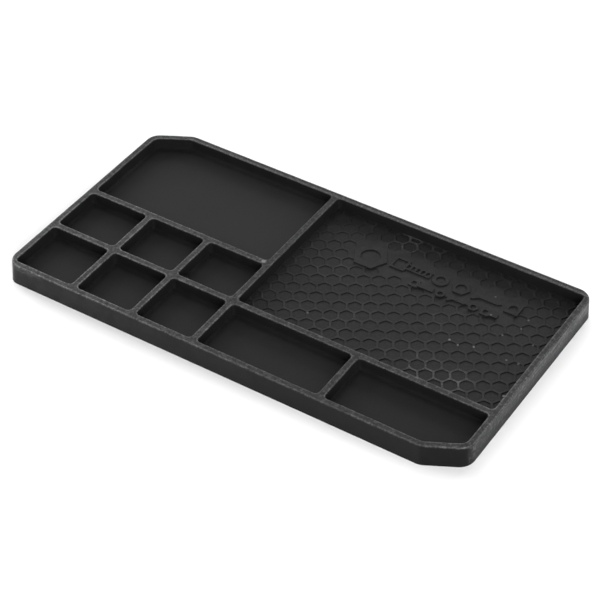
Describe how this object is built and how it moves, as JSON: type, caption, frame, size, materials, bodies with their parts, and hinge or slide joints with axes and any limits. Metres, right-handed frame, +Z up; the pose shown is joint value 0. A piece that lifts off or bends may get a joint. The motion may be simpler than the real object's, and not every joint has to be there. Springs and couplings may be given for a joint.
{
  "type": "parts sorting tray",
  "caption": "Low rectangular black rubber sorting tray with two bevelled corners, small and large shallow compartments, a honeycomb-ribbed bay and a raised hardware emblem.",
  "frame": {"origin": "centre of the plan on the flat underside", "axes": "+X along the length, +Y across the width towards the long back side with the large compartments, +Z up out of the compartments"},
  "size_m": [0.21, 0.11, 0.01],
  "materials": {
    "moulded_rubber": "matte, fine moulded grain with a light grey bloom",
    "divider_rubber": "matte, with lighter rubbed edges",
    "ribbed_rubber": "matte, fine moulded grain, faint dust on the ribs"
  },
  "bodies": {
    "root": {"base_floor": "moulded_rubber", "outer_wall": "moulded_rubber", "long_divider": "divider_rubber", "main_divider": "divider_rubber", "main_divider_front": "divider_rubber", "rear_bay_divider": "divider_rubber", "small_divider_front_left": "divider_rubber", "small_divider_front_right": "divider_rubber", "small_divider_rear_left": "divider_rubber", "small_divider_rear_right": "divider_rubber", "front_bay_divider": "divider_rubber", "honeycomb_ribs": "ribbed_rubber", "emblem": "ribbed_rubber"}
  },
  "joints": []
}
